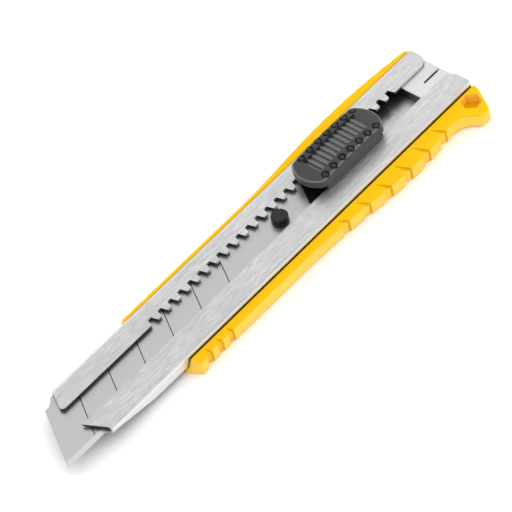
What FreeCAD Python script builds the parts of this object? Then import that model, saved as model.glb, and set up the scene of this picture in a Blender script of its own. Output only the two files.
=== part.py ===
import FreeCAD, Part
import os
import re
import Sketcher

# Snap-off utility knife, millimetres.
# +X runs from the blade's tip to the tail, +Y from the cutting edge to the spine, +Z up through
# the thumb slider.  The origin is on the flat underside of the handle, below the blade's centreline
# and half way along the handle.

Vector = FreeCAD.Vector
Rotation = FreeCAD.Rotation

# Edges that run further than this are long ones; shorter ones belong to details.
LONG_EDGE = 2.0

document = FreeCAD.newDocument("utility_knife")
sheet = document.addObject("Spreadsheet::Sheet", "sizes")

SIZES = [
    # how far cutting outlines run past the material
    ("overrun", 1.0),
    # handle tray
    ("handle_length", 106.7),
    ("handle_height", 3.8),
    ("floor_thickness", 1.3),
    ("edge_side_width", 12.85),
    ("spine_side_width", 11.85),
    ("guide_side_gap", 0.4),
    ("front_corner_width", 13.6),
    ("front_corner_setback", 2.1),
    ("front_corner_run", 5.0),
    ("spine_front_setback", 1.1),
    ("front_face_rake", 1.9),
    ("belly_start", -15.0),
    ("belly_swell_end", 12.0),
    ("belly_swell_width", 14.55),
    ("belly_curve_match", 1.02),
    ("belly_end", 39.3),
    ("neck_width", 14.4),
    ("spine_bulge_start", -10.0),
    ("spine_swell_end", 7.0),
    ("spine_swell_width", 12.65),
    ("spine_end_width", 11.9),
    ("tail_width", 18.65),
    ("tail_corner_width", 11.9),
    ("tail_slant_start", 7.3),
    ("tail_slant_run", 3.75),
    ("tail_corner_radius", 1.2),
    ("spine_corner_setback", 0.8),
    ("socket_across_corners", 5.4),
    ("socket_depth", 3.0),
    ("socket_turn", 8.0),
    ("socket_from_tail", 4.5),
    ("socket_side", 13.45),
    ("handle_edge_radius", 0.45),
    # chevron grip grooves
    ("grip_groove_count", 6),
    ("grip_groove_pitch", 7.08),
    ("grip_groove_first", 2.6),
    ("grip_groove_width", 2.15),
    ("grip_groove_bite", 0.85),
    ("grip_groove_slant", 1.6),
    ("front_groove_count", 3),
    ("front_groove_pitch", 3.85),
    ("front_groove_first", -46.65),
    ("front_groove_width", 1.3),
    ("front_groove_bite", 0.6),
    ("front_groove_slant", 0.3),
    ("groove_reach", 10.95),
    ("groove_top_bite", 0.7),
    ("groove_tilt", 20.0),
    ("groove_back_run", 0.6),
    ("groove_wall_run", 0.5),
    ("groove_cutter_radius", 3.2),
    # shallow notches in the spine wall's outer side
    ("spine_notch_count", 3),
    ("spine_notch_pitch", 4.9),
    ("spine_notch_first", -48.75),
    ("spine_notch_width", 2.5),
    ("spine_notch_run", 0.5),
    ("spine_notch_depth", 0.3),
    # guide channel
    ("sheet_thickness", 0.6),
    ("guide_height", 4.05),
    ("guide_width", 20.0),
    ("guide_inner_radius", 0.6),
    ("guide_floor_radius", 0.65),
    ("guide_nose_ahead", 28.1),
    ("guide_rear_setback", 0.3),
    ("nose_sweep_edge", 3.4),
    ("nose_sweep_spine", 3.5),
    ("nose_flat_length", 4.5),
    ("nose_ramp_length", 13.0),
    ("lip_gap", 6.7),
    ("lip_corner_radius", 3.0),
    ("nose_corner_radius", 0.9),
    # rack along the spine-side lip
    ("rack_pitch", 3.5),
    ("rack_count", 26),
    ("rack_last_gap", 38.8),
    ("rack_depth", 1.9),
    ("rack_root_width", 1.1),
    ("rack_mouth_width", 2.4),
    ("rack_tip_radius", 0.4),
    ("rack_tip_bow", 0.42),
    ("rack_tip_lean", 0.6),
    # blade
    ("blade_length", 100.0),
    ("blade_width", 18.0),
    ("blade_thickness", 0.5),
    ("blade_out", 10.9),
    ("blade_lip_clearance", 0.4),
    ("blade_side_shift", 0.3),
    ("blade_floor_clearance", 0.1),
    ("cut_angle", 60.0),
    ("score_pitch", 10.0),
    ("score_count", 6),
    ("score_width", 0.26),
    ("score_depth", 0.14),
    ("bevel_width", 1.4),
    ("edge_thickness", 0.08),
    ("heel_notch_depth", 1.8),
    ("heel_notch_flat", 1.3),
    ("heel_notch_run", 2.4),
    ("heel_bowl_along", 0.54),
    ("heel_bowl_up", 0.42),
    # stud and carrier
    ("stud_diameter", 4.4),
    ("stud_from_blade_end", 14.9),
    ("stud_stand", 2.25),
    ("stud_chamfer", 0.3),
    ("stud_groove_drop", 0.85),
    ("stud_groove_width", 0.25),
    ("stud_groove_depth", 0.2),
    ("stud_seat_depth", 1.2),
    ("stud_clearance", 0.06),
    ("carrier_front_reach", 3.2),
    ("carrier_side_clearance", 0.5),
    ("carrier_lip_clearance", 0.1),
    ("carrier_end", 27.6),
    ("carrier_step_width", 1.3),
    ("carrier_step_height", 0.15),
    ("neck_start", 6.3),
    ("neck_side_clearance", 0.15),
    ("peg_diameter", 2.2),
    ("peg_height", 1.5),
    ("peg_clearance", 0.05),
    # thumb slider
    ("slider_front", 2.85),
    ("slider_length", 26.85),
    ("slider_width", 10.6),
    ("slider_side_shift", 1.15),
    ("slider_end_bow", 2.5),
    ("slider_lift", 0.15),
    ("slider_end_height", 3.6),
    ("slider_crown", 0.9),
    ("slider_overhang", 3.4),
    ("slider_overhang_lift", 1.7),
    ("slider_edge_radius", 0.6),
    ("slider_corner_radius", 1.2),
    ("slider_roof_clearance", 0.1),
    ("recess_start", 4.15),
    ("recess_length", 19.0),
    ("recess_width", 5.6),
    ("recess_side_shift", 0.3),
    ("recess_depth", 0.45),
    ("rib_count", 12),
    ("rib_gap_depth", 0.5),
    ("rib_gap_share", 0.6),
    ("rib_end_margin", 0.1),
    ("bead_count", 7),
    ("bead_diameter", 1.6),
    ("bead_side", 4.15),
    ("bead_pitch", 3.17),
    ("bead_first", 4.25),
    ("bead_row_stagger", 0.65),
    ("bead_sink", 0.5),
    ("bead_pit_diameter", 2.05),
    ("bead_pit_depth", 0.4),
    # lock spring
    ("spring_thickness", 0.3),
    ("spring_width", 4.4),
    ("spring_length", 11.0),
    ("spring_rise", 0.8),
    ("tooth_from_spring_end", 3.0),
    ("spring_bed_clearance", 0.3),
    ("spring_tooth_gap_index", 18),
    ("tooth_clearance", 0.12),
    # end clip
    ("clip_length", 10.7),
    ("clip_side_clearance", 0.45),
    ("clip_lip_clearance", 0.05),
    ("clip_slot_width", 0.6),
    ("clip_slot_length", 6.3),
    ("clip_slot_side", -0.35),
    ("clip_corner_radius", 0.5),
]

for row, (alias, amount) in enumerate(SIZES, start=1):
    sheet.set(f"A{row}", alias)
    sheet.set(f"B{row}", str(amount))
    sheet.setAlias(f"B{row}", alias)
document.recompute()


WORDS = re.compile(r"\b(" + "|".join(alias for alias, amount in SIZES) + r")\b")

# Places that several pieces share, worked out from the sheet.
HANDLE_REAR = "(handle_length / 2)"
HANDLE_FRONT = "(-handle_length / 2)"
TROUGH_HALF = "(guide_width / 2 + guide_side_gap)"
GUIDE_REAR = "(handle_length / 2 - guide_rear_setback)"
GUIDE_NOSE = "(-handle_length / 2 - guide_nose_ahead)"
GUIDE_FLOOR = "(floor_thickness + sheet_thickness)"
LIP_TOP = "(floor_thickness + guide_height)"
LIP_UNDER = "(floor_thickness + guide_height - sheet_thickness)"
INNER_HALF = "(guide_width / 2 - sheet_thickness)"
BLADE_TOP = f"({LIP_UNDER} - blade_lip_clearance)"
BLADE_BOTTOM = f"({BLADE_TOP} - blade_thickness)"
NOSE_BOTTOM = f"({BLADE_BOTTOM} - blade_floor_clearance - sheet_thickness)"
BLADE_TIP = f"({GUIDE_NOSE} - blade_out)"
BLADE_LOW_SIDE = "(blade_side_shift - blade_width / 2)"
BLADE_HIGH_SIDE = "(blade_side_shift + blade_width / 2)"
CUT_RUN = "(blade_width / tan(cut_angle * 1 deg))"
BLADE_EDGE_END = f"({BLADE_TIP} + blade_length - {CUT_RUN})"
STUD_X = f"({BLADE_TIP} + blade_length - stud_from_blade_end)"
CARRIER_BOTTOM = f"({GUIDE_FLOOR} + carrier_lip_clearance)"
CARRIER_TOP = f"({LIP_UNDER} - carrier_lip_clearance)"
SLIDER_BOTTOM = f"({LIP_TOP} + slider_lift)"
SLIDER_REAR = "(slider_front + slider_length)"
SLIDER_MIDDLE = "(slider_front + slider_length / 2)"
SLIDER_END_TOP = f"({SLIDER_BOTTOM} + slider_end_height)"
SLIDER_LOW_SIDE = "(slider_side_shift - slider_width / 2)"
SLIDER_HIGH_SIDE = "(slider_side_shift + slider_width / 2)"
TOOTH_X = "(rack_last_gap - (rack_count - 1 - spring_tooth_gap_index) * rack_pitch)"
SPRING_BED = f"({LIP_UNDER} + tooth_clearance / 2)"
SPRING_FRONT = f"({TOOTH_X} - tooth_from_spring_end)"
SPRING_REAR = f"({SPRING_FRONT} + spring_length)"
NECK_HALF = "(lip_gap / 2 - neck_side_clearance)"
PEG_FRONT = f"((neck_start + {SPRING_FRONT}) / 2)"
PEG_REAR = f"(({SPRING_REAR} + {SLIDER_REAR} - slider_overhang) / 2)"


def tied(expression):
    """The expression with each size name pointed at the sheet."""
    return WORDS.sub(r"sizes.\1", str(expression))


def amount_of(expression):
    """The present value of an expression, as a plain number."""
    found = sheet.evalExpression(tied(expression))
    return float(getattr(found, "Value", found))


def bind(thing, **settings):
    """Tie a feature's properties to expressions in the sheet's names."""
    for name, expression in settings.items():
        thing.setExpression(name, tied(expression))


def origin_plane(body, role):
    return next(plane for plane in body.Origin.OriginFeatures if plane.Role == role)


def new_body(name):
    body = document.addObject("PartDesign::Body", name)
    body.Label = name
    body.Placement = FreeCAD.Placement()
    return body


def new_sketch(body, name, role, offset="0"):
    """A sketch on one of the body's own origin planes, moved along its normal by offset."""
    sketch = body.newObject("Sketcher::SketchObject", name)
    sketch.AttachmentSupport = [(origin_plane(body, role), "")]
    sketch.MapMode = "FlatFace"
    bind(sketch, **{"AttachmentOffset.Base.z": offset})
    return sketch


def pin_point(sketch, geometry, end, across, up):
    """Hold one point of a sketch at a place given by two expressions."""
    for kind, expression in (("DistanceX", across), ("DistanceY", up)):
        constraint = Sketcher.Constraint(kind, -1, 1, geometry, end, amount_of(expression))
        index = sketch.addConstraint(constraint)
        bind(sketch, **{f"Constraints[{index}]": expression})


def via_of_tangent_arc(start, heading, finish):
    """The middle point of the arc that leaves start along heading and ends at finish."""
    chord = finish - start
    sideways = chord - heading * (chord * heading)
    radius = chord.Length ** 2 / (2 * sideways.Length)
    centre = start + sideways.normalize() * radius
    outward = ((start - centre) + (finish - centre)).normalize()
    return centre + outward * radius


def path(sketch, corners, closed=False):
    """Draw runs from corner to corner and return them.

    A corner is (x, y) when a straight run leaves it, (x, y, "tangent") when an arc leaves it in
    line with the run before, and (x, y, via_x, via_y) when an arc through that point leaves it.
    """
    points = [Vector(amount_of(corner[0]), amount_of(corner[1]), 0) for corner in corners]
    count = len(corners) if closed else len(corners) - 1
    runs = []
    heading = None
    for index in range(count):
        corner = corners[index]
        start = points[index]
        finish = points[(index + 1) % len(corners)]
        if len(corner) == 2:
            run = sketch.addGeometry(Part.LineSegment(start, finish), False)
            heading = (finish - start).normalize()
            forward = True
        else:
            if len(corner) == 3:
                via = via_of_tangent_arc(start, heading, finish)
            else:
                via = Vector(amount_of(corner[2]), amount_of(corner[3]), 0)
            arc = Part.Arc(start, via, finish)
            run = sketch.addGeometry(arc, False)
            forward = (sketch.getPoint(run, 1) - start).Length < 1e-6
            curve = arc.toShape().Curve
            radius = (finish - curve.Center).normalize()
            heading = Vector(-radius.y, radius.x, 0)
            if heading * (finish - via) < 0:
                heading = heading * -1
            if len(corner) == 4:
                mark = sketch.addGeometry(Part.Point(via), True)
                pin_point(sketch, mark, 1, corner[2], corner[3])
                sketch.addConstraint(Sketcher.Constraint("PointOnObject", mark, 1, run))
        runs.append((run, 1, 2) if forward else (run, 2, 1))
    joints = count if closed else count - 1
    for index in range(joints):
        run, start, finish = runs[index]
        following = runs[(index + 1) % len(runs)]
        kind = "Tangent" if len(corners[(index + 1) % len(corners)]) == 3 else "Coincident"
        sketch.addConstraint(Sketcher.Constraint(kind, run, finish, following[0], following[1]))
    for index, (run, start, finish) in enumerate(runs):
        pin_point(sketch, run, start, corners[index][0], corners[index][1])
    if not closed:
        run, start, finish = runs[-1]
        pin_point(sketch, run, finish, corners[-1][0], corners[-1][1])
    return runs


def outline(sketch, corners):
    path(sketch, corners, closed=True)


def bridge(sketch, first, first_end, second, second_end):
    """A straight run that joins the ends of two runs already drawn."""
    line = Part.LineSegment(sketch.getPoint(first, first_end), sketch.getPoint(second, second_end))
    run = sketch.addGeometry(line, False)
    sketch.addConstraint(Sketcher.Constraint("Coincident", run, 1, first, first_end))
    sketch.addConstraint(Sketcher.Constraint("Coincident", run, 2, second, second_end))


def rectangle(sketch, left, right, low, high):
    outline(sketch, [(left, low), (right, low), (right, high), (left, high)])


def circle(sketch, across, up, diameter):
    centre = Vector(amount_of(across), amount_of(up), 0)
    ring = sketch.addGeometry(Part.Circle(centre, Vector(0, 0, 1), amount_of(diameter) / 2), False)
    pin_point(sketch, ring, 3, across, up)
    index = sketch.addConstraint(Sketcher.Constraint("Diameter", ring, amount_of(diameter)))
    bind(sketch, **{f"Constraints[{index}]": diameter})


def pad(body, sketch, length, both_ways=False):
    feature = body.newObject("PartDesign::Pad", sketch.Name + "_pad")
    feature.Profile = sketch
    feature.Midplane = both_ways
    bind(feature, Length=length)
    document.recompute()
    return feature


def pocket(body, sketch, length=None, upward=False, both_ways=False):
    """Cut a sketch's outline out of the body, through everything when no length is given."""
    before = body.Shape.Volume
    feature = body.newObject("PartDesign::Pocket", sketch.Name + "_pocket")
    feature.Profile = sketch
    feature.Reversed = upward
    feature.Midplane = both_ways
    if length is None:
        feature.Type = "ThroughAll"
    else:
        bind(feature, Length=length)
    document.recompute()
    if not feature.Shape.Volume < before:
        raise RuntimeError(sketch.Name + " cuts nothing")
    return feature


def repeat_along_x(body, feature, pitch, count):
    """Copy a feature count times in all, one pitch apart towards +X."""
    before = body.Shape.Volume
    pattern = body.newObject("PartDesign::LinearPattern", feature.Name + "_row")
    pattern.Originals = [feature]
    pattern.Direction = (next(a for a in body.Origin.OriginFeatures if a.Role == "X_Axis"), [""])
    bind(pattern, Length=f"{pitch} * ({count} - 1)", Occurrences=count)
    body.Tip = pattern
    document.recompute()
    if amount_of(count) > 1 and abs(body.Shape.Volume - before) < 1e-6:
        raise RuntimeError(feature.Name + " is not repeated")
    return pattern


def edges_where(shape, test):
    """Names of the straight or curved edges whose two ends pass the test."""
    names = []
    for index, edge in enumerate(shape.Edges, start=1):
        ends = [vertex.Point for vertex in edge.Vertexes]
        if len(ends) == 2 and test(edge, ends[0], ends[1]):
            names.append(f"Edge{index}")
    return names


def fillet(body, radius, test):
    base = body.Tip
    names = edges_where(base.Shape, test)
    if not names:
        raise RuntimeError(body.Label + " has no edge to round")
    feature = body.newObject("PartDesign::Fillet", f"{body.Name}_round_{len(body.Group)}")
    feature.Base = (base, names)
    bind(feature, Radius=radius)
    document.recompute()
    return feature


def near(value, expression):
    return abs(value - amount_of(expression)) < 1e-4


# ---------------------------------------------------------------- handle tray
def belly_side(x):
    """How far the cutting-edge side of the belly stands from the centreline at x, nearly."""
    swell = "(belly_swell_width - edge_side_width)"
    run = "(belly_swell_end - belly_start)"
    bend = f"({swell} / {run} * 2 / (belly_end - belly_swell_end))"
    past = f"max({x} - belly_swell_end; 0)"
    share = f"((min({x}; belly_swell_end) - belly_start) / {run})"
    early = f"(edge_side_width + {swell} * pow({share}; 2))"
    return f"({early} + {past} * (2 * {swell} / {run}) - {past} * {past} * {bend} * belly_curve_match)"


def cut_chevron(body, name, tip, side, kind):
    """Cut one chevron groove over the outer top edge, with its steep wall towards the tail."""
    width = f"{kind}_groove_width"
    bite = f"{kind}_groove_bite"
    foot = f"({tip} - groove_wall_run)"
    outside = f"(-{side} - overrun)"
    flank = new_sketch(body, name + "_side", "XY_Plane", "-overrun")
    outline(flank, [
        (f"{tip} - {width} - groove_back_run * (overrun + {bite}) / {bite}", outside),
        (f"{tip} - {width}", f"{bite} - {side}"),
        (foot, f"{bite} / 2 - {side}"),
        (f"{foot} + groove_wall_run * (overrun + {bite} / 2) / ({bite} / 2)", outside),
    ])
    pocket(body, flank, "handle_height + 2 * overrun", upward=True)

    start = (f"({foot} - {kind}_groove_slant)", "(-groove_reach)", "handle_height")
    finish = (foot, f"(-{side})", "(handle_height - groove_top_bite)")
    along = Vector(*[amount_of(end) - amount_of(begin) for begin, end in zip(start, finish)]).normalize()
    level = along.cross(Vector(0, 0, 1)).normalize()
    if level.x > 0:
        level = level * -1
    raised = level.cross(along) if level.cross(along).z > 0 else along.cross(level)
    tilt = "groove_tilt * 1 deg"
    towards_tip = raised * -amount_of(f"cos({tilt})") - level * amount_of(f"sin({tilt})")
    cutter = body.newObject("PartDesign::SubtractivePrism", name + "_top")
    cutter.Polygon = 6
    cutter.AttachmentSupport = [(origin_plane(body, "XY_Plane"), "")]
    cutter.MapMode = "FlatFace"
    cutter.AttachmentOffset = FreeCAD.Placement(
        Vector(), Rotation(towards_tip, along.cross(towards_tip), along, "ZXY"))
    before = body.Shape.Volume
    bind(cutter, Circumradius="groove_cutter_radius", Height="2 * groove_reach")
    bind(cutter, **{
        f"AttachmentOffset.Base.{axis}": f"{place} - groove_cutter_radius * {part:.6f}"
        for axis, place, part in zip("xyz", start, towards_tip)
    })
    document.recompute()
    if not cutter.Shape.Volume < before:
        raise RuntimeError(name + " cuts nothing")


def make_handle_tray():
    body = new_body("handle_tray")
    plan = new_sketch(body, "tray_plan", "XY_Plane")
    front_side = f"({HANDLE_FRONT} + front_corner_setback)"
    low_side = path(plan, [
        (HANDLE_FRONT, "2 * front_corner_setback - front_corner_width"),
        (front_side, "-front_corner_width"),
        (f"{front_side} + front_corner_run", "-edge_side_width"),
        ("belly_start", "-edge_side_width", "tangent"),
        ("belly_swell_end", "-belly_swell_width", "tangent"),
        ("belly_end", "-neck_width", "tangent"),
        (f"{HANDLE_REAR} - tail_slant_start", "-tail_width"),
        (f"{HANDLE_REAR} - tail_slant_run", "-tail_width"),
        (HANDLE_REAR, "-tail_corner_width"),
    ])
    high_side = path(plan, [
        (HANDLE_FRONT, "spine_side_width - spine_front_setback"),
        (f"{HANDLE_FRONT} + spine_front_setback", "spine_side_width"),
        ("spine_bulge_start", "spine_side_width", "tangent"),
        ("spine_swell_end", "spine_swell_width", "tangent"),
        (f"{HANDLE_REAR} - spine_corner_setback", "spine_end_width"),
        (HANDLE_REAR, "spine_end_width - spine_corner_setback"),
    ])
    bridge(plan, low_side[0][0], low_side[0][1], high_side[0][0], high_side[0][1])
    bridge(plan, low_side[-1][0], low_side[-1][2], high_side[-1][0], high_side[-1][2])
    pad(body, plan, "handle_height")

    rake = new_sketch(body, "tray_front_rake", "XZ_Plane")
    outline(rake, [
        (f"{HANDLE_FRONT} - overrun", "0"),
        (HANDLE_FRONT, "0"),
        (f"{HANDLE_FRONT} + front_face_rake", "handle_height"),
        (f"{HANDLE_FRONT} - overrun", "handle_height"),
    ])
    pocket(body, rake, "4 * guide_width", both_ways=True)

    def long_outer_edge(edge, a, b):
        level = abs(a.z - b.z) < 1e-6
        outer = min(abs(a.y), abs(b.y)) > amount_of("spine_side_width") - 1e-3
        behind_front = max(a.x, b.x) > amount_of(front_side) + LONG_EDGE
        return level and outer and behind_front

    def tail_corner(edge, a, b):
        upright = abs(a.x - b.x) < 1e-6 and abs(a.y - b.y) < 1e-6
        return upright and a.y < -amount_of("neck_width") - LONG_EDGE
    fillet(body, "tail_corner_radius", tail_corner)
    fillet(body, "handle_edge_radius", long_outer_edge)

    trough = new_sketch(body, "tray_trough", "XY_Plane", "floor_thickness")
    rectangle(trough, f"{HANDLE_FRONT} - overrun", f"{HANDLE_REAR} + overrun",
              f"-{TROUGH_HALF}", TROUGH_HALF)
    pocket(body, trough, "handle_height", upward=True)

    socket = new_sketch(body, "tray_socket", "XY_Plane", "handle_height - socket_depth")
    centre = f"({HANDLE_REAR} - socket_from_tail)"
    corners = []
    for turn in range(6):
        angle = f"(({60 * turn} + socket_turn) * 1 deg)"
        corners.append((
            f"{centre} + socket_across_corners / 2 * cos({angle})",
            f"-socket_side + socket_across_corners / 2 * sin({angle})",
        ))
    outline(socket, corners)
    pocket(body, socket, "socket_depth + overrun", upward=True)

    for index in range(int(amount_of("grip_groove_count"))):
        tip = f"(grip_groove_first + {index} * grip_groove_pitch)"
        cut_chevron(body, f"grip_groove_{index + 1}", tip, belly_side(tip), "grip")
    for index in range(int(amount_of("front_groove_count"))):
        tip = f"(front_groove_first + {index} * front_groove_pitch)"
        cut_chevron(body, f"front_groove_{index + 1}", tip, "edge_side_width", "front")

    notches = new_sketch(body, "tray_spine_notches", "XY_Plane")
    for index in range(int(amount_of("spine_notch_count"))):
        middle = f"(spine_notch_first + {index} * spine_notch_pitch)"
        outline(notches, [
            (f"{middle} - spine_notch_width / 2", "spine_side_width + overrun"),
            (f"{middle} - spine_notch_width / 2", "spine_side_width"),
            (f"{middle} - spine_notch_width / 2 + spine_notch_run", "spine_side_width - spine_notch_depth"),
            (f"{middle} + spine_notch_width / 2 - spine_notch_run", "spine_side_width - spine_notch_depth"),
            (f"{middle} + spine_notch_width / 2", "spine_side_width"),
            (f"{middle} + spine_notch_width / 2", "spine_side_width + overrun"),
        ])
    pocket(body, notches, "handle_height + overrun", upward=True)
    return body


# ---------------------------------------------------------------- guide channel
def side_profile(sketch, inset):
    """The channel's side view, taken in by inset all round; the floor ramps down behind the nose."""
    low = f"(floor_thickness + {inset})"
    nose = f"({NOSE_BOTTOM} + {inset})"
    reach = "overrun" if inset != "0" else "0"
    outline(sketch, [
        (f"{GUIDE_NOSE} - {reach}", nose),
        (f"{GUIDE_NOSE} + nose_flat_length", nose),
        (f"{GUIDE_NOSE} + nose_flat_length + nose_ramp_length", low),
        (f"{GUIDE_REAR} + {reach}", low),
        (f"{GUIDE_REAR} + {reach}", f"{LIP_TOP} - {inset}"),
        (f"{GUIDE_NOSE} - {reach}", f"{LIP_TOP} - {inset}"),
    ])


def make_guide_channel():
    body = new_body("guide_channel")
    outer = new_sketch(body, "guide_outside", "XZ_Plane")
    side_profile(outer, "0")
    pad(body, outer, "guide_width", both_ways=True)

    def along_side(half, at_lips):
        level = amount_of(BLADE_TOP)

        def test(edge, a, b):
            on_side = near(abs(a.y), half) and near(abs(b.y), half) and a.y * b.y > 0
            right_height = (a.z > level and b.z > level) == at_lips
            return on_side and right_height and abs(a.x - b.x) > LONG_EDGE
        return test
    fillet(body, "guide_inner_radius + sheet_thickness", along_side("guide_width / 2", True))
    fillet(body, "guide_floor_radius", along_side("guide_width / 2", False))

    inner = new_sketch(body, "guide_inside", "XZ_Plane")
    side_profile(inner, "sheet_thickness")
    pocket(body, inner, f"2 * {INNER_HALF}", both_ways=True)
    fillet(body, "guide_inner_radius", along_side(INNER_HALF, True))

    opening = new_sketch(body, "guide_lip_gap", "XY_Plane", BLADE_TOP)
    rectangle(opening, f"{GUIDE_NOSE} - overrun", f"{GUIDE_REAR} + overrun", "-lip_gap / 2", "lip_gap / 2")
    pocket(body, opening, "guide_height", upward=True)

    for side, word in ((-1, "edge"), (1, "spine")):
        nose = new_sketch(body, f"guide_nose_{word}", "XY_Plane")
        outline(nose, [
            (f"{GUIDE_NOSE} - overrun", f"{side} * lip_gap / 2"),
            (GUIDE_NOSE, f"{side} * lip_gap / 2"),
            (f"{GUIDE_NOSE} + nose_sweep_{word}", f"{side} * guide_width / 2"),
            (f"{GUIDE_NOSE} + nose_sweep_{word}", f"{side} * (guide_width / 2 + overrun)"),
            (f"{GUIDE_NOSE} - overrun", f"{side} * (guide_width / 2 + overrun)"),
        ])
        pocket(body, nose, "2 * handle_height", upward=True)

    gap = new_sketch(body, "guide_rack_gap", "XY_Plane", BLADE_TOP)
    first = "(rack_last_gap - (rack_count - 1) * rack_pitch)"
    lip_edge = "(lip_gap / 2)"
    round_x = "(rack_mouth_width / 2 - rack_tip_radius * rack_tip_bow)"
    flank_x = "(rack_mouth_width / 2 - rack_tip_radius * rack_tip_lean)"
    round_y = f"({lip_edge} + rack_tip_radius * (1 - rack_tip_lean))"
    outline(gap, [
        (f"{first} - rack_mouth_width / 2", f"{lip_edge} - overrun"),
        (f"{first} + rack_mouth_width / 2", f"{lip_edge} - overrun"),
        (f"{first} + rack_mouth_width / 2", lip_edge, f"{first} + {round_x}", round_y),
        (f"{first} + {flank_x}", f"{lip_edge} + rack_tip_radius"),
        (f"{first} + rack_root_width / 2", f"{lip_edge} + rack_depth"),
        (f"{first} - rack_root_width / 2", f"{lip_edge} + rack_depth"),
        (f"{first} - {flank_x}", f"{lip_edge} + rack_tip_radius", f"{first} - {round_x}", round_y),
        (f"{first} - rack_mouth_width / 2", lip_edge),
    ])
    cut = pocket(body, gap, "guide_height", upward=True)
    repeat_along_x(body, cut, "rack_pitch", "rack_count")

    def upright(edge, a, b):
        return abs(a.x - b.x) < 1e-6 and abs(a.y - b.y) < 1e-6 and a.z > amount_of(BLADE_TOP)

    def rear_lip_corner(edge, a, b):
        return upright(edge, a, b) and near(a.x, GUIDE_REAR) and near(abs(a.y), "lip_gap / 2")
    fillet(body, "lip_corner_radius", rear_lip_corner)

    def nose_lip_corner(edge, a, b):
        return upright(edge, a, b) and near(a.x, GUIDE_NOSE) and near(a.y, "lip_gap / 2")
    fillet(body, "nose_corner_radius", nose_lip_corner)
    return body


# ---------------------------------------------------------------- blade
def make_blade():
    body = new_body("blade")
    plan = new_sketch(body, "blade_plan", "XY_Plane", BLADE_BOTTOM)
    heel_y = f"({BLADE_HIGH_SIDE} - heel_notch_depth)"
    heel_x = f"({BLADE_TIP} + {CUT_RUN} - heel_notch_depth / tan(cut_angle * 1 deg))"
    bowl_x = f"({heel_x} + heel_notch_flat)"
    outline(plan, [
        (BLADE_TIP, BLADE_LOW_SIDE),
        (BLADE_EDGE_END, BLADE_LOW_SIDE),
        (f"{BLADE_TIP} + blade_length", BLADE_HIGH_SIDE),
        (f"{bowl_x} + heel_notch_run", BLADE_HIGH_SIDE,
         f"{bowl_x} + heel_bowl_along * heel_notch_run", f"{heel_y} + heel_bowl_up * heel_notch_depth"),
        (bowl_x, heel_y),
        (heel_x, heel_y),
    ])
    pad(body, plan, "blade_thickness")

    bevel = new_sketch(body, "blade_bevels", "YZ_Plane", f"{BLADE_TIP} - overrun")
    middle = f"({BLADE_BOTTOM} + blade_thickness / 2)"
    for side in (-1, 1):
        face = f"({middle} + {side} * blade_thickness / 2)"
        outline(bevel, [
            (f"{BLADE_LOW_SIDE} - overrun", f"{middle} + {side} * edge_thickness / 2"),
            (BLADE_LOW_SIDE, f"{middle} + {side} * edge_thickness / 2"),
            (f"{BLADE_LOW_SIDE} + bevel_width", face),
            (f"{BLADE_LOW_SIDE} - overrun", face),
        ])
    pocket(body, bevel, "blade_length + 2 * overrun", upward=True)

    score = new_sketch(body, "blade_score", "XY_Plane", f"{BLADE_TOP} - score_depth")
    lean = "(score_width / 2 / sin(cut_angle * 1 deg))"
    start = f"({BLADE_TIP} + score_pitch)"
    over = "(overrun / tan(cut_angle * 1 deg))"
    outline(score, [
        (f"{start} - {lean} - {over}", f"{BLADE_LOW_SIDE} - overrun"),
        (f"{start} + {lean} - {over}", f"{BLADE_LOW_SIDE} - overrun"),
        (f"{start} + {CUT_RUN} + {lean} + {over}", f"{BLADE_HIGH_SIDE} + overrun"),
        (f"{start} + {CUT_RUN} - {lean} + {over}", f"{BLADE_HIGH_SIDE} + overrun"),
    ])
    groove = pocket(body, score, "blade_thickness", upward=True)
    repeat_along_x(body, groove, "score_pitch", "score_count")

    hole = new_sketch(body, "blade_hole", "XY_Plane", f"{BLADE_BOTTOM} - overrun")
    circle(hole, STUD_X, "0", "stud_diameter + 2 * stud_clearance")
    pocket(body, hole, "blade_thickness + 2 * overrun", upward=True)
    return body


# ---------------------------------------------------------------- blade stud
def make_blade_stud():
    body = new_body("blade_stud")
    half = new_sketch(body, "stud_half", "XZ_Plane")
    low = f"({BLADE_BOTTOM} - stud_seat_depth)"
    top = f"({BLADE_TOP} + stud_stand)"
    rim = f"({STUD_X} + stud_diameter / 2)"
    outline(half, [
        (STUD_X, low),
        (rim, low),
        (rim, f"{top} - stud_groove_drop - stud_groove_width"),
        (f"{rim} - stud_groove_depth", f"{top} - stud_groove_drop - stud_groove_width"),
        (f"{rim} - stud_groove_depth", f"{top} - stud_groove_drop"),
        (rim, f"{top} - stud_groove_drop"),
        (rim, f"{top} - stud_chamfer"),
        (f"{rim} - stud_chamfer", top),
        (STUD_X, top),
    ])
    axis = half.addGeometry(Part.LineSegment(Vector(amount_of(STUD_X), 0, 0),
                                             Vector(amount_of(STUD_X), 1, 0)), True)
    pin_point(half, axis, 1, STUD_X, "0")
    pin_point(half, axis, 2, STUD_X, "1")
    turned = body.newObject("PartDesign::Revolution", "stud_turned")
    turned.Profile = half
    turned.ReferenceAxis = (half, ["Axis0"])
    turned.Angle = 360
    document.recompute()
    return body


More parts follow.
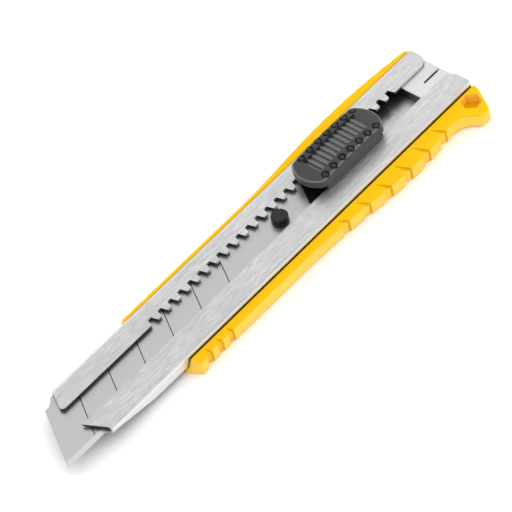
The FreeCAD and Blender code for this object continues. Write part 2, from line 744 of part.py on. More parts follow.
# ---------------------------------------------------------------- blade carrier
def make_blade_carrier():
    body = new_body("blade_carrier")
    half = f"({INNER_HALF} - carrier_side_clearance)"
    front = f"({STUD_X} - carrier_front_reach)"
    plate = new_sketch(body, "carrier_plate", "XY_Plane", CARRIER_BOTTOM)
    rectangle(plate, front, "carrier_end", f"-{half}", half)
    pad(body, plate, f"{BLADE_BOTTOM} - {CARRIER_BOTTOM}")

    def slanted(sketch, gap, rear):
        slope = "tan(cut_angle * 1 deg)"
        at_low = f"({BLADE_EDGE_END} - ({half} + {BLADE_LOW_SIDE}) / {slope} + {gap})"
        outline(sketch, [
            (at_low, f"-{half}"),
            (rear, f"-{half}"),
            (rear, half),
            (f"{at_low} + 2 * {half} / {slope}", half),
        ])
    step = new_sketch(body, "carrier_step", "XY_Plane", BLADE_BOTTOM)
    slanted(step, "stud_clearance", "carrier_end")
    pad(body, step, f"{CARRIER_TOP} - {BLADE_BOTTOM} - carrier_step_height")
    shelf = new_sketch(body, "carrier_shelf", "XY_Plane", f"{CARRIER_TOP} - carrier_step_height")
    slanted(shelf, "carrier_step_width", "carrier_end")
    pad(body, shelf, "carrier_step_height")

    neck = new_sketch(body, "carrier_neck", "XY_Plane", CARRIER_TOP)
    rectangle(neck, "neck_start", "carrier_end", f"-{NECK_HALF}", NECK_HALF)
    pad(body, neck, f"{SLIDER_BOTTOM} - {CARRIER_TOP}")
    for word, place in (("front", PEG_FRONT), ("rear", PEG_REAR)):
        peg = new_sketch(body, f"carrier_peg_{word}", "XY_Plane", SLIDER_BOTTOM)
        circle(peg, place, "0", "peg_diameter")
        pad(body, peg, "peg_height")

    seat = new_sketch(body, "carrier_stud_seat", "XY_Plane", f"{BLADE_BOTTOM} - stud_seat_depth")
    circle(seat, STUD_X, "0", "stud_diameter")
    pocket(body, seat, "stud_seat_depth + overrun", upward=True)

    bed = new_sketch(body, "carrier_spring_bed", "XY_Plane", SPRING_BED)
    rectangle(bed, f"{SPRING_FRONT} - spring_bed_clearance", f"{SPRING_REAR} + spring_bed_clearance",
              "-spring_width / 2 - spring_bed_clearance", "lip_gap")
    pocket(body, bed, "handle_height", upward=True)
    return body


# ---------------------------------------------------------------- lock spring
def make_lock_spring():
    body = new_body("lock_spring")
    leaf = new_sketch(body, "spring_leaf", "XZ_Plane")
    bow_start = f"({TOOTH_X} + rack_mouth_width)"
    bow_middle = f"(({bow_start} + {SPRING_REAR}) / 2)"
    top = f"({SPRING_BED} + spring_thickness)"
    outline(leaf, [
        (SPRING_FRONT, SPRING_BED),
        (bow_start, SPRING_BED, bow_middle, f"{SPRING_BED} + spring_rise"),
        (SPRING_REAR, SPRING_BED),
        (SPRING_REAR, top, bow_middle, f"{top} + spring_rise"),
        (bow_start, top),
        (SPRING_FRONT, top),
    ])
    pad(body, leaf, "spring_width", both_ways=True)

    tooth = new_sketch(body, "spring_tooth", "XY_Plane", SPRING_BED)
    wide = "(rack_mouth_width / 2 - 2 * tooth_clearance)"
    narrow = "(rack_root_width / 2 - tooth_clearance)"
    tip = "(lip_gap / 2 + rack_depth - tooth_clearance)"
    outline(tooth, [
        (f"{TOOTH_X} - {wide}", "0"),
        (f"{TOOTH_X} + {wide}", "0"),
        (f"{TOOTH_X} + {wide}", "lip_gap / 2"),
        (f"{TOOTH_X} + {narrow}", tip),
        (f"{TOOTH_X} - {narrow}", tip),
        (f"{TOOTH_X} - {wide}", "lip_gap / 2"),
    ])
    pad(body, tooth, "spring_thickness")
    return body


# ---------------------------------------------------------------- thumb slider
def crown_height(x):
    """Height of the slider's crowned top above its ends, at x."""
    return f"(slider_crown * (1 - pow(({x} - {SLIDER_MIDDLE}) / (slider_length / 2); 2)))"


def make_thumb_slider():
    body = new_body("thumb_slider")
    plan = new_sketch(body, "slider_plan", "XY_Plane", SLIDER_BOTTOM)
    outline(plan, [
        ("slider_front + slider_end_bow", SLIDER_LOW_SIDE),
        (f"{SLIDER_REAR} - slider_end_bow", SLIDER_LOW_SIDE, SLIDER_REAR, "slider_side_shift"),
        (f"{SLIDER_REAR} - slider_end_bow", SLIDER_HIGH_SIDE),
        ("slider_front + slider_end_bow", SLIDER_HIGH_SIDE, "slider_front", "slider_side_shift"),
    ])
    pad(body, plan, "slider_end_height + slider_crown")

    crown = new_sketch(body, "slider_crown_cut", "XZ_Plane")
    above = f"({SLIDER_END_TOP} + 2 * slider_crown + overrun)"
    outline(crown, [
        ("slider_front", SLIDER_END_TOP, SLIDER_MIDDLE, f"{SLIDER_END_TOP} + slider_crown"),
        (SLIDER_REAR, SLIDER_END_TOP),
        (f"{SLIDER_REAR} + overrun", SLIDER_END_TOP),
        (f"{SLIDER_REAR} + overrun", above),
        ("slider_front - overrun", above),
        ("slider_front - overrun", SLIDER_END_TOP),
    ])
    pocket(body, crown, "4 * slider_width", both_ways=True)

    for word, start, finish in (
            ("front", "slider_front - overrun", "slider_front + slider_overhang"),
            ("rear", f"{SLIDER_REAR} - slider_overhang", f"{SLIDER_REAR} + overrun")):
        under = new_sketch(body, f"slider_overhang_{word}", "XZ_Plane")
        rectangle(under, start, finish,
                  f"{SLIDER_BOTTOM} - overrun", f"{SLIDER_BOTTOM} + slider_overhang_lift")
        pocket(body, under, "4 * slider_width", both_ways=True)

    def upright_corner(edge, a, b):
        upright = abs(a.x - b.x) < 1e-6 and abs(a.y - b.y) < 1e-6
        on_side = near(a.y, SLIDER_LOW_SIDE) or near(a.y, SLIDER_HIGH_SIDE)
        at_front = near(a.x, "slider_front + slider_end_bow")
        at_rear = near(a.x, f"{SLIDER_REAR} - slider_end_bow")
        return upright and on_side and (at_front or at_rear)
    fillet(body, "slider_corner_radius", upright_corner)

    def top_edge(edge, a, b):
        return min(a.z, b.z) > amount_of(SLIDER_END_TOP) - 1e-4
    fillet(body, "slider_edge_radius", top_edge)

    recess_front = "(slider_front + recess_start)"
    recess_rear = f"({recess_front} + recess_length)"
    recess_middle = f"({recess_front} + recess_length / 2)"
    recess_plane = "-(slider_side_shift + recess_side_shift)"
    clear = f"({SLIDER_END_TOP} + slider_crown + overrun)"

    def recess_floor(x):
        return f"({SLIDER_END_TOP} + {crown_height(x)} - recess_depth)"
    recess = new_sketch(body, "slider_recess", "XZ_Plane", recess_plane)
    outline(recess, [
        (recess_front, recess_floor(recess_front), recess_middle, recess_floor(recess_middle)),
        (recess_rear, recess_floor(recess_rear)),
        (recess_rear, clear),
        (recess_front, clear),
    ])
    pocket(body, recess, "recess_width", both_ways=True)

    gaps = new_sketch(body, "slider_rib_gaps", "XZ_Plane", recess_plane)
    pitch = "(recess_length / rib_count)"
    for index in range(int(amount_of("rib_count"))):
        left = f"({recess_front} + {pitch} * ({index} + (1 - rib_gap_share) / 2))"
        right = f"({left} + {pitch} * rib_gap_share)"
        rectangle(gaps, left, right, f"{recess_floor(left)} - rib_gap_depth", clear)
    pocket(body, gaps, "recess_width - 2 * rib_end_margin", both_ways=True)

    rows = (("low", "slider_side_shift - bead_side", "bead_first"),
            ("high", "slider_side_shift + bead_side", "(bead_first + bead_row_stagger)"))
    for word, side, first in rows:
        for index in range(int(amount_of("bead_count"))):
            x = f"(slider_front + {first} + {index} * bead_pitch)"
            top = f"({SLIDER_END_TOP} + {crown_height(x)})"
            pit = body.newObject("PartDesign::SubtractiveCylinder", f"slider_pit_{word}_{index + 1}")
            bind(pit, Radius="bead_pit_diameter / 2", Height="bead_pit_depth + overrun")
            bead = body.newObject("PartDesign::AdditiveSphere", f"slider_bead_{word}_{index + 1}")
            bind(bead, Radius="bead_diameter / 2")
            for feature, level in ((pit, f"{top} - bead_pit_depth"), (bead, f"{top} - bead_sink")):
                feature.AttachmentSupport = [(origin_plane(body, "XY_Plane"), "")]
                feature.MapMode = "FlatFace"
                bind(feature, **{
                    "AttachmentOffset.Base.x": x,
                    "AttachmentOffset.Base.y": side,
                    "AttachmentOffset.Base.z": level,
                })
            document.recompute()

    roof = f"(spring_rise + {SPRING_BED} + spring_thickness - {SLIDER_BOTTOM} + slider_roof_clearance)"
    hollow = new_sketch(body, "slider_spring_room", "XY_Plane", SLIDER_BOTTOM)
    rectangle(hollow, f"{SPRING_FRONT} - spring_bed_clearance", f"{SPRING_REAR} + spring_bed_clearance",
              "-spring_width / 2 - spring_bed_clearance", "spring_width / 2 + spring_bed_clearance")
    pocket(body, hollow, roof, upward=True)
    for word, place in (("front", PEG_FRONT), ("rear", PEG_REAR)):
        socket = new_sketch(body, f"slider_socket_{word}", "XY_Plane", SLIDER_BOTTOM)
        circle(socket, place, "0", "peg_diameter + 2 * peg_clearance")
        pocket(body, socket, "peg_height + slider_roof_clearance", upward=True)
    return body


# ---------------------------------------------------------------- end clip
def make_end_clip():
    body = new_body("end_clip")
    top = f"({LIP_UNDER} - clip_lip_clearance)"
    front = f"({GUIDE_REAR} - clip_length)"
    profile = new_sketch(body, "clip_profile", "XZ_Plane")
    outline(profile, [
        (front, GUIDE_FLOOR),
        (f"{front} + sheet_thickness", GUIDE_FLOOR),
        (f"{front} + sheet_thickness", f"{top} - sheet_thickness"),
        (f"{GUIDE_REAR} - sheet_thickness", f"{top} - sheet_thickness"),
        (f"{GUIDE_REAR} - sheet_thickness", GUIDE_FLOOR),
        (GUIDE_REAR, GUIDE_FLOOR),
        (GUIDE_REAR, top),
        (front, top),
    ])
    pad(body, profile, f"2 * ({INNER_HALF} - clip_side_clearance)", both_ways=True)

    def outer_bend(edge, a, b):
        across = abs(a.y - b.y) > LONG_EDGE
        high = near(a.z, top) and near(b.z, top)
        return across and high
    fillet(body, "clip_corner_radius", outer_bend)

    slot = new_sketch(body, "clip_slot", "XY_Plane", "floor_thickness")
    rectangle(slot, f"{GUIDE_REAR} - clip_slot_length", f"{GUIDE_REAR} + overrun",
              "clip_slot_side - clip_slot_width / 2", "clip_slot_side + clip_slot_width / 2")
    pocket(body, slot, "2 * guide_height", upward=True)
    return body


MAKERS = [
    make_handle_tray,
    make_guide_channel,
    make_end_clip,
    make_blade,
    make_blade_stud,
    make_blade_carrier,
    make_lock_spring,
    make_thumb_slider,
]

pieces = [maker() for maker in MAKERS]
document.recompute()

failed = [thing.Name for thing in document.Objects if {"Invalid", "Error"} & set(thing.State)]
if failed:
    raise RuntimeError("failed: " + ", ".join(failed))
for piece in pieces:
    if piece.Shape.isNull() or not piece.Shape.isValid() or len(piece.Shape.Solids) != 1:
        raise RuntimeError(piece.Label + " is not one sound solid")

os.makedirs("parts", exist_ok=True)
for piece in pieces:
    piece.Shape.exportStep(os.path.join("parts", piece.Label + ".step"))
    print(piece.Label, round(piece.Shape.Volume, 2), "mm3")
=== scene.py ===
import bpy
from mathutils import Matrix, Vector


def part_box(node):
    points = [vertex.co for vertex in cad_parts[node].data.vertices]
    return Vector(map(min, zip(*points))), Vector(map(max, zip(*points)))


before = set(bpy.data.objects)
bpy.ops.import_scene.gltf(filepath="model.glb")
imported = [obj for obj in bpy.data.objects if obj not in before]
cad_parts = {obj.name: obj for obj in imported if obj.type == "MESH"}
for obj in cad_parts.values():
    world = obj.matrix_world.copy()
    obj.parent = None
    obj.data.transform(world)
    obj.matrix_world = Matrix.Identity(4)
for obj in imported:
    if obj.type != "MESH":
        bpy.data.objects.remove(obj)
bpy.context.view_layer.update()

# A snap-off knife lying on white paper: the CAD pieces with their finishes, a camera and soft light.
# Lengths are in metres and colours are linear.

scene = bpy.context.scene
scene.view_settings.view_transform = "Standard"

# ---------------------------------------------------------------- places on the knife
GUIDE_LOW, GUIDE_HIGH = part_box("guide_channel")
TRAY_LOW, TRAY_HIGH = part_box("handle_tray")
BLADE_LOW, BLADE_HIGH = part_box("blade")
SLIDER_LOW, SLIDER_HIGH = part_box("thumb_slider")
CLIP_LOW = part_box("end_clip")[0]

FINE = 0.0001            # how far the edge of a painted area fades

# steel guide and tray
SHEET = 0.0006           # thickness of the folded steel
GUIDE_SIDE_GAP = 0.0004
GUIDE_FLOOR = GUIDE_LOW.z + SHEET
INNER_HALF = GUIDE_HIGH.y - SHEET
TROUGH_HALF = GUIDE_HIGH.y + GUIDE_SIDE_GAP
LIP_UNDERSIDE = GUIDE_HIGH.z - SHEET
RACK_START = -0.0500     # where the rack of gaps begins in the spine lip
GRIP_X = (-0.0488, 0.0405)  # the stretch of the tray that has grip notches
GAP_LINE = 0.00028       # width of the painted shade line in the tray beside the guide
TRAY_FRONT = (TRAY_LOW.x + 0.00115, TRAY_LOW.x + 0.00215)  # where the guide starts to sink into the tray
FLOOR_SHADE_Y = (0.0002, 0.0030)  # over which painted shade darkens the channel's floor towards the spine

# blade
BEVEL = 0.0014
SCORE_FROM = (0.00004, 0.00009)   # depth under the blade's face over which the painted shade of a score line starts
SCORE_TO = (0.0002, 0.0003)       # and over which it ends

# thumb slider
SLIDER_MIDDLE = (SLIDER_LOW.y + SLIDER_HIGH.y) / 2
RECESS_START = SLIDER_LOW.x + 0.00415
RECESS_LENGTH = 0.0190
RECESS_MIDDLE = SLIDER_MIDDLE + 0.0003
RECESS_HALF = 0.0028
RECESS_X = (RECESS_START, RECESS_START + RECESS_LENGTH)
RECESS_Y = (RECESS_MIDDLE - RECESS_HALF, RECESS_MIDDLE + RECESS_HALF)
# width of the painted shade along the recess's far wall
RECESS_WALL_SHADE_WIDTH = 0.0009
BEAD_COUNT = 7
BEAD_PITCH = 0.00317
BEAD_SIDE = 0.00415
BEAD_FIRST = SLIDER_LOW.x + 0.00425
BEAD_STAGGER = 0.00065   # the far row starts this much further back
BEAD_ROWS = ((BEAD_FIRST, SLIDER_MIDDLE - BEAD_SIDE),
             (BEAD_FIRST + BEAD_STAGGER, SLIDER_MIDDLE + BEAD_SIDE))
PIT_RADIUS = 0.00102

# ---------------------------------------------------------------- colours


def grey(level):
    return level, level, level


YELLOW = (0.84, 0.485, 0.0)
YELLOW_FLOW = (0.82, 0.45, 0.0)
# painted light: the paler colour given to the yellow handle's upright sides
YELLOW_SIDE_PAINTED_LIGHT = (0.98, 0.64, 0.10)
# painted shade: orange on the grip steps that face the tip
GRIP_SHADE_ORANGE = (0.66, 0.32, 0.0)
# painted shade: the dark line in the tray beside the guide
TRAY_LINE_SHADE = (0.33, 0.15, 0.0)
# painted shade on the guide's walls where they sink into the tray
GUIDE_SUNK_SHADE = (0.035, 0.028, 0.02)
SLIDER_GREY = (0.024, 0.024, 0.0245)
SLIDER_FLOW = (0.019, 0.019, 0.0195)
# painted light: the paler colour of the slider's sides
SLIDER_SIDE_PAINTED_LIGHT = (0.062, 0.062, 0.063)
# painted highlight: the light line on the slider's rounded edges
SLIDER_RIM_HIGHLIGHT = (0.17, 0.17, 0.172)
# painted light: the paler colour of the ribbed recess
SLIDER_RECESS_PAINTED_LIGHT = (0.115, 0.115, 0.117)
GUIDE_STEEL = (0.67, 0.67, 0.665)

GRAIN_HEIGHT = 0.00002
STREAK_HEIGHT = 0.00001

# stretch of a noise, small along the grain of the metal
ALONG_X = (0.07, 1.0, 1.0)
ALONG_Y = (1.0, 0.05, 1.0)

# the colour sockets of a Mix node
MIX_FACTOR, MIX_FIRST, MIX_SECOND, MIX_RESULT = 0, 6, 7, 2


# ---------------------------------------------------------------- camera, light and floor
def make_camera():
    """A long lens at the photo's viewing angle."""
    forward = Vector((0.42240, 0.52734, -0.73722)).normalized()
    right = forward.cross(Vector((0.62902, 0.41506, 0.65731))).normalized()
    up = right.cross(forward).normalized()
    place = Vector((-0.42341, -0.50732, 0.71015))
    data = bpy.data.cameras.new("camera")
    data.lens = 282.46
    data.sensor_width = 36.0
    data.clip_start = 0.05
    data.clip_end = 20.0
    camera = bpy.data.objects.new("camera", data)
    turn = Matrix((right, up, -forward)).transposed().to_4x4()
    camera.matrix_world = Matrix.Translation(place) @ turn
    scene.collection.objects.link(camera)
    scene.camera = camera


def make_sky():
    """White studio light from all round, a little brighter from one side."""
    brighter_side = (0.72, 0.1, 0.68)
    dimmest, brightest = 0.9, 1.42
    world = bpy.data.worlds.new("studio")
    world.use_nodes = True
    tree = world.node_tree
    direction = tree.nodes.new("ShaderNodeTexCoord")
    towards = tree.nodes.new("ShaderNodeVectorMath")
    towards.operation = "DOT_PRODUCT"
    towards.inputs[1].default_value = brighter_side
    tree.links.new(direction.outputs["Generated"], towards.inputs[0])
    level = tree.nodes.new("ShaderNodeMapRange")
    level.inputs["From Min"].default_value = -0.7
    level.inputs["From Max"].default_value = 1.0
    level.inputs["To Min"].default_value = dimmest
    level.inputs["To Max"].default_value = brightest
    tree.links.new(towards.outputs["Value"], level.inputs["Value"])
    background = tree.nodes["Background"]
    background.inputs["Color"].default_value = (1.0, 1.0, 1.0, 1.0)
    tree.links.new(level.outputs["Result"], background.inputs["Strength"])
    scene.world = world


def make_key_light():
    """A soft lamp beyond the spine, low enough that the steel doesn't mirror it at the camera."""
    data = bpy.data.lights.new("key_light", "AREA")
    data.shape = "SQUARE"
    data.size = 0.3
    data.energy = 1.0
    light = bpy.data.objects.new("key_light", data)
    light.location = (0.12, 0.80, 0.36)
    light.rotation_mode = "QUATERNION"
    light.rotation_quaternion = (-light.location).to_track_quat("-Z", "Y")
    scene.collection.objects.link(light)


def make_floor():
    """White paper, just under the knife."""
    half, drop = 3.0, 0.0001
    mesh = bpy.data.meshes.new("floor")
    corners = [(-half, -half, -drop), (half, -half, -drop), (half, half, -drop), (-half, half, -drop)]
    mesh.from_pydata(corners, [], [(0, 1, 2, 3)])
    paper = bpy.data.materials.new("floor_paper")
    paper.use_nodes = True
    shader = paper.node_tree.nodes["Principled BSDF"]
    shader.inputs["Base Color"].default_value = (0.95, 0.95, 0.95, 1.0)
    shader.inputs["Roughness"].default_value = 0.9
    mesh.materials.append(paper)
    floor = bpy.data.objects.new("floor", mesh)
    scene.collection.objects.link(floor)


# ---------------------------------------------------------------- material helpers
class Nodes:
    """A material's nodes: each method adds some and gives back their output."""

    def __init__(self, name):
        self.material = bpy.data.materials.new(name)
        self.material.use_nodes = True
        self.tree = self.material.node_tree
        self.shader = self.tree.nodes["Principled BSDF"]
        self.place = self.add("ShaderNodeTexCoord").outputs["Object"]
        self.x, self.y, self.z = self.split(self.place)
        facing = self.split(self.add("ShaderNodeNewGeometry").outputs["True Normal"])
        self.facing_x, self.facing_z = facing["X"], facing["Z"]

    def feed(self, socket, value):
        """Sets a socket to a number or colour, or links another node's output to it."""
        if isinstance(value, (int, float)):
            socket.default_value = value
        elif isinstance(value, tuple):
            socket.default_value = (*value, 1.0)
        else:
            self.tree.links.new(value, socket)

    def add(self, kind, links=None, **settings):
        node = self.tree.nodes.new(kind)
        for key, value in settings.items():
            setattr(node, key, value)
        for socket, value in (links or {}).items():
            self.feed(node.inputs[socket], value)
        return node

    def split(self, vector):
        return self.add("ShaderNodeSeparateXYZ", {"Vector": vector}).outputs

    def maths(self, operation, *values):
        return self.add("ShaderNodeMath", dict(enumerate(values)), operation=operation).outputs[0]

    def product(self, first, *others):
        """All the values multiplied together."""
        for other in others:
            first = self.maths("MULTIPLY", first, other)
        return first

    def noise(self, scale, detail=3.0, roughness=0.5, stretch=(1.0, 1.0, 1.0), offset=(0.0, 0.0, 0.0)):
        """Noise in object space; a small stretch along an axis gives streaks along that axis."""
        mapping = self.add("ShaderNodeMapping", {"Vector": self.place})
        mapping.inputs["Scale"].default_value = stretch
        mapping.inputs["Location"].default_value = offset
        sockets = {"Vector": mapping.outputs["Vector"], "Scale": scale}
        sockets |= {"Detail": detail, "Roughness": roughness}
        return self.add("ShaderNodeTexNoise", sockets).outputs["Fac"]

    def ramp(self, value, low, high, from_low=0.3, from_high=0.7):
        """Maps value from one range to another, kept inside it."""
        sockets = {"Value": value, "From Min": from_low, "From Max": from_high}
        sockets |= {"To Min": low, "To Max": high}
        return self.add("ShaderNodeMapRange", sockets).outputs["Result"]

    def rise(self, value, start, end):
        """0 up to start, 1 from end on."""
        return self.ramp(value, 0.0, 1.0, start, end)

    def fall(self, value, start, end):
        """1 up to start, 0 from end on."""
        return self.ramp(value, 1.0, 0.0, start, end)

    def span(self, value, low, high, soft):
        """1 where value lies between low and high, fading to 0 over soft outside them."""
        return self.product(self.rise(value, low - soft, low), self.fall(value, high, high + soft))

    def upright(self):
        """1 on faces that stand upright, 0 on level ones."""
        return self.fall(self.maths("ABSOLUTE", self.facing_z), 0.35, 0.75)

    def mix(self, factor, first, second, blend="MIX"):
        sockets = {MIX_FACTOR: factor, MIX_FIRST: first, MIX_SECOND: second}
        return self.add("ShaderNodeMix", sockets, data_type="RGBA", blend_type=blend).outputs[MIX_RESULT]

    def bump(self, height, strength, distance):
        sockets = {"Height": height, "Strength": strength, "Distance": distance}
        return self.add("ShaderNodeBump", sockets).outputs["Normal"]

    def finish(self, colour, roughness, normal, **fixed):
        """Joins up the shader; fixed names its sockets that are the same all over."""
        for socket, source in (("Base Color", colour), ("Roughness", roughness), ("Normal", normal)):
            self.tree.links.new(source, self.shader.inputs[socket])
        for key, value in fixed.items():
            self.shader.inputs[key.replace("_", " ")].default_value = value
        return self.material


def moulded_plastic(nodes, base, flow_shade, grain_scale, roughness, grain_strength, side=None):
    """Colour, roughness and normal of plastic with a fine grain, faint flow marks and painted light on its
    upright sides when a side colour is given.
    """
    flow = nodes.noise(scale=35.0, detail=4.0, stretch=(0.35, 1.0, 1.0))
    colour = nodes.mix(nodes.ramp(flow, 0.0, 1.0), flow_shade, base)
    if side is not None:
        # painted light: upright faces are mixed towards the paler side colour
        colour = nodes.mix(nodes.product(nodes.upright(), 0.85), colour, side)
    grain = nodes.noise(grain_scale, detail=2.0)
    sheen = nodes.noise(scale=180.0)
    rough = nodes.ramp(sheen, roughness - 0.05, roughness + 0.06)
    return colour, rough, nodes.bump(grain, grain_strength, GRAIN_HEIGHT)


def streaked_metal(nodes, base, dark, scale, stretch, roughness, spread, strength):
    """Colour, roughness and normal of metal with fine streaks and faint handling marks."""
    fine = nodes.noise(scale, roughness=0.6, stretch=stretch)
    hair = nodes.noise(scale * 2.3, detail=2.0, stretch=stretch, offset=(0.3, 0.1, 0.0))
    blotch = nodes.noise(scale=260.0, roughness=0.6, stretch=(0.4, 1.0, 1.0), offset=(0.7, 0.2, 0.4))
    colour = nodes.mix(nodes.ramp(fine, 0.0, 1.0), dark, base)
    colour = nodes.mix(nodes.ramp(hair, 0.0, 0.6, 0.42, 0.68), colour, dark)
    colour = nodes.mix(nodes.ramp(blotch, 0.0, 0.35, 0.45, 0.7), colour, dark)
    rough = nodes.ramp(fine, roughness - spread, roughness + spread, 0.25, 0.75)
    return colour, rough, nodes.bump(fine, strength, STREAK_HEIGHT)


# ---------------------------------------------------------------- finishes of the CAD pieces
def handle_finish():
    """Yellow plastic with painted light and shade: sides painted paler, painted shade in orange on the
    grip steps that face the tip, and a painted shade line beside the steel guide.
    """
    nodes = Nodes("yellow_plastic")
    colour, rough, normal = moulded_plastic(nodes, YELLOW, YELLOW_FLOW, grain_scale=4200.0,
                                            roughness=0.45, grain_strength=0.12, side=YELLOW_SIDE_PAINTED_LIGHT)
    # painted shade: grip faces turned towards the tip are painted orange
    facing_tip_shade = nodes.fall(nodes.facing_x, -0.5, -0.2)
    in_grip = nodes.span(nodes.x, *GRIP_X, 5 * FINE)
    colour = nodes.mix(nodes.product(facing_tip_shade, in_grip, 0.85), colour, GRIP_SHADE_ORANGE)
    # painted shade: a dark line on the tray beside the guide, where the gap falls in shadow
    guide_line_shade = nodes.span(nodes.y, TROUGH_HALF, TROUGH_HALF + GAP_LINE, 2 * FINE)
    colour = nodes.mix(nodes.product(guide_line_shade, 0.85), colour, TRAY_LINE_SHADE)
    return nodes.finish(colour, rough, normal, Specular_IOR_Level=0.08)


def bead_row(nodes, first, side):
    """1 in each round pit of one row of beads, 0 elsewhere."""
    along = nodes.maths("PINGPONG", nodes.maths("SUBTRACT", nodes.x, first), BEAD_PITCH / 2)
    across = nodes.maths("SUBTRACT", nodes.y, side)
    reach = nodes.add("ShaderNodeCombineXYZ", {"X": along, "Y": across}).outputs[0]
    distance = nodes.add("ShaderNodeVectorMath", {0: reach}, operation="LENGTH").outputs["Value"]
    last = first + (BEAD_COUNT - 1) * BEAD_PITCH
    in_row = nodes.span(nodes.x, first - PIT_RADIUS, last + PIT_RADIUS, FINE)
    return nodes.product(nodes.fall(distance, PIT_RADIUS - FINE / 2, PIT_RADIUS + FINE * 1.5), in_row)


def slider_finish():
    """Grey plastic with painted light and shade: sides painted paler, painted shade in the bead pits, the
    ribbed recess painted paler with painted shade along its far wall, and a painted highlight line round
    the top.
    """
    nodes = Nodes("grey_plastic")
    colour, rough, normal = moulded_plastic(nodes, SLIDER_GREY, SLIDER_FLOW, grain_scale=5200.0,
                                            roughness=0.42, grain_strength=0.3, side=SLIDER_SIDE_PAINTED_LIGHT)
    # painted highlight: a light line on the rounded edges between top and sides
    rim_highlight = nodes.span(nodes.maths("ABSOLUTE", nodes.facing_z), 0.62, 0.9, 0.1)
    colour = nodes.mix(nodes.product(rim_highlight, 0.8), colour, SLIDER_RIM_HIGHLIGHT)
    # painted light: the recess is painted paler to lift the shade of its walls
    in_recess = nodes.product(nodes.span(nodes.x, *RECESS_X, FINE), nodes.span(nodes.y, *RECESS_Y, FINE))
    colour = nodes.mix(in_recess, colour, SLIDER_RECESS_PAINTED_LIGHT)
    # painted shade along the recess's far wall
    far_wall_shade = nodes.rise(nodes.y, RECESS_Y[1] - RECESS_WALL_SHADE_WIDTH, RECESS_Y[1] - FINE)
    colour = nodes.mix(nodes.product(in_recess, far_wall_shade, 0.85), colour, grey(0.02))
    # painted shade: each round pit, with the bead in it, is painted near black
    pit_shade = nodes.maths("MAXIMUM", *(bead_row(nodes, first, side) for first, side in BEAD_ROWS))
    colour = nodes.mix(nodes.product(pit_shade, 0.95), colour, grey(0.006))
    rough = nodes.product(rough, nodes.ramp(pit_shade, 1.0, 0.55, 0.0, 1.0))
    return nodes.finish(colour, rough, normal, Specular_IOR_Level=0.35)


def carrier_finish():
    """Black plastic, nearly matt."""
    nodes = Nodes("black_plastic")
    surface = moulded_plastic(nodes, grey(0.004), grey(0.003), grain_scale=4800.0, roughness=0.4,
                              grain_strength=0.2)
    return nodes.finish(*surface, Specular_IOR_Level=0.08)


def stud_finish():
    """Blackened steel: its matt coat scatters light as plastic does, and is smoother than the carrier."""
    nodes = Nodes("stud_black")
    surface = moulded_plastic(nodes, grey(0.012), grey(0.009), grain_scale=3000.0, roughness=0.24,
                              grain_strength=0.1)
    return nodes.finish(*surface, Specular_IOR_Level=0.22)


def guide_finish():
    """Sheet steel brushed along its length, with painted light and shade: a front painted darker, outer
    walls painted paler, painted shade on the duller sheared edges round the lips, on the undersides, on
    the floor towards the spine and on the side walls sunk in the tray.
    """
    nodes = Nodes("guide_steel")
    x, y, z = nodes.x, nodes.y, nodes.z
    colour, rough, normal = streaked_metal(nodes, GUIDE_STEEL, grey(0.40), scale=3400.0, stretch=ALONG_X,
                                           roughness=0.40, spread=0.08, strength=0.25)
    off_middle = nodes.maths("ABSOLUTE", y)
    # painted shade: the guide darkens towards its front
    front_painted_shade = nodes.ramp(x, 0.88, 1.0, GUIDE_LOW.x, GUIDE_HIGH.x)
    colour = nodes.mix(1.0, colour, front_painted_shade, "MULTIPLY")
    # painted light: the upright outer walls are painted paler than the top
    outer_wall_painted_light = nodes.rise(off_middle, GUIDE_HIGH.y - 4 * FINE, GUIDE_HIGH.y - 2 * FINE)
    colour = nodes.mix(nodes.product(nodes.upright(), outer_wall_painted_light), colour, grey(0.80))

    # painted shade on the lips' inner edges, which are also duller; kept off the tooth bottoms of the
    # rack, which catch the light
    lip_level = nodes.rise(z, LIP_UNDERSIDE - 2 * FINE, LIP_UNDERSIDE - FINE)
    inside = nodes.fall(off_middle, INNER_HALF - 2 * FINE, INNER_HALF)
    ahead_of_rack = nodes.fall(x, RACK_START - FINE, RACK_START)
    facing_along = nodes.rise(nodes.maths("ABSOLUTE", nodes.facing_x), 0.2, 0.4)
    sheared_edge_shade_zone = nodes.maths("MAXIMUM", ahead_of_rack, facing_along)
    lip_edge_dull_and_shade = nodes.product(nodes.upright(), lip_level, inside, sheared_edge_shade_zone, 0.95)
    colour = nodes.mix(lip_edge_dull_and_shade, colour, grey(0.05))
    # painted shade on faces turned downwards
    underside_shade = nodes.fall(nodes.facing_z, -0.9, -0.5)
    colour = nodes.mix(nodes.product(underside_shade, 0.9), colour, grey(0.06))

    # painted shade on the channel's floor towards the spine, under the lip
    floor = nodes.fall(z, GUIDE_FLOOR + FINE, GUIDE_FLOOR + 3 * FINE)
    facing_up = nodes.rise(nodes.facing_z, 0.5, 0.9)
    spine_side_shade = nodes.rise(y, *FLOOR_SHADE_Y)
    colour = nodes.mix(nodes.product(floor, facing_up, spine_side_shade, 0.9), colour, grey(0.05))

    # painted shade on the guide's side walls inside the tray
    in_tray = nodes.product(nodes.fall(z, TRAY_HIGH.z, TRAY_HIGH.z + 2 * FINE), nodes.rise(x, *TRAY_FRONT))
    sunk_wall_shade = nodes.rise(off_middle, GUIDE_HIGH.y - 2 * FINE, GUIDE_HIGH.y - FINE)
    colour = nodes.mix(nodes.product(in_tray, sunk_wall_shade, 0.95), colour, GUIDE_SUNK_SHADE)
    return nodes.finish(colour, rough, normal, Metallic=0.85)


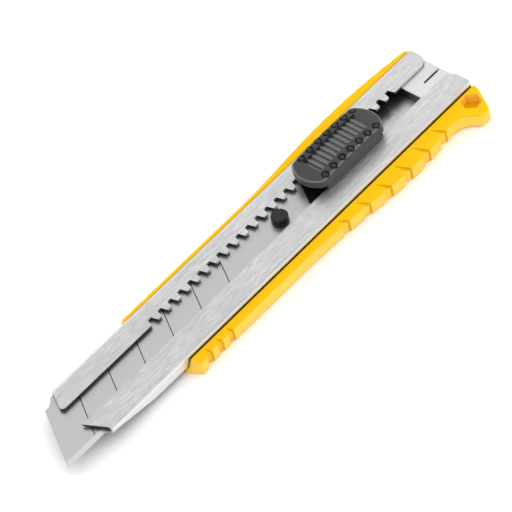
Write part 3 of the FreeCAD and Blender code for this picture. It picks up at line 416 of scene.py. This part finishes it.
def blade_finish():
    """Ground blade steel: satin, with painted shade in the score grooves and a bevel ground across the
    edge.
    """
    nodes = Nodes("blade_steel")
    y, z = nodes.y, nodes.z
    colour, rough, normal = streaked_metal(nodes, grey(0.42), grey(0.385), scale=5200.0, stretch=ALONG_Y,
                                           roughness=0.34, spread=0.04, strength=0.05)
    bevel_top = BLADE_LOW.y + BEVEL
    grind = nodes.noise(scale=7000.0, detail=2.0, stretch=(1.0, 0.03, 0.03))
    ground = nodes.mix(nodes.ramp(grind, 0.0, 1.0), grey(0.49), grey(0.52))
    colour = nodes.mix(nodes.fall(y, bevel_top - FINE / 2, bevel_top + FINE / 2), colour, ground)
    # painted shade in the score grooves
    depth = nodes.maths("SUBTRACT", BLADE_HIGH.z, z)
    score_shade = nodes.product(nodes.rise(depth, *SCORE_FROM), nodes.fall(depth, *SCORE_TO))
    above_bevel = nodes.rise(y, bevel_top, bevel_top + 3 * FINE)
    colour = nodes.mix(nodes.product(score_shade, above_bevel, 0.9), colour, grey(0.03))
    return nodes.finish(colour, rough, normal, Metallic=0.9)


def clip_finish():
    """Bright sheet steel, with painted shade on the leg that faces the blade."""
    nodes = Nodes("clip_steel")
    colour, rough, normal = streaked_metal(nodes, grey(0.62), grey(0.53), scale=2600.0, stretch=ALONG_X,
                                           roughness=0.34, spread=0.05, strength=0.1)
    # painted shade on the upright leg that faces the blade
    leg_shade = nodes.fall(nodes.x, CLIP_LOW.x + SHEET / 2, CLIP_LOW.x + SHEET)
    colour = nodes.mix(nodes.product(leg_shade, nodes.upright(), 0.9), colour, grey(0.05))
    return nodes.finish(colour, rough, normal, Metallic=0.85)


def spring_finish():
    """Bare spring steel."""
    nodes = Nodes("spring_steel")
    surface = streaked_metal(nodes, grey(0.6), grey(0.45), scale=2600.0, stretch=ALONG_X,
                             roughness=0.3, spread=0.05, strength=0.1)
    return nodes.finish(*surface, Metallic=1.0)


FINISHES = {
    "handle_tray": handle_finish,
    "guide_channel": guide_finish,
    "end_clip": clip_finish,
    "blade": blade_finish,
    "blade_stud": stud_finish,
    "blade_carrier": carrier_finish,
    "lock_spring": spring_finish,
    "thumb_slider": slider_finish,
}

make_camera()
make_sky()
make_key_light()
for node, make_finish in FINISHES.items():
    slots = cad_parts[node].data.materials
    slots.clear()
    slots.append(make_finish())
make_floor()
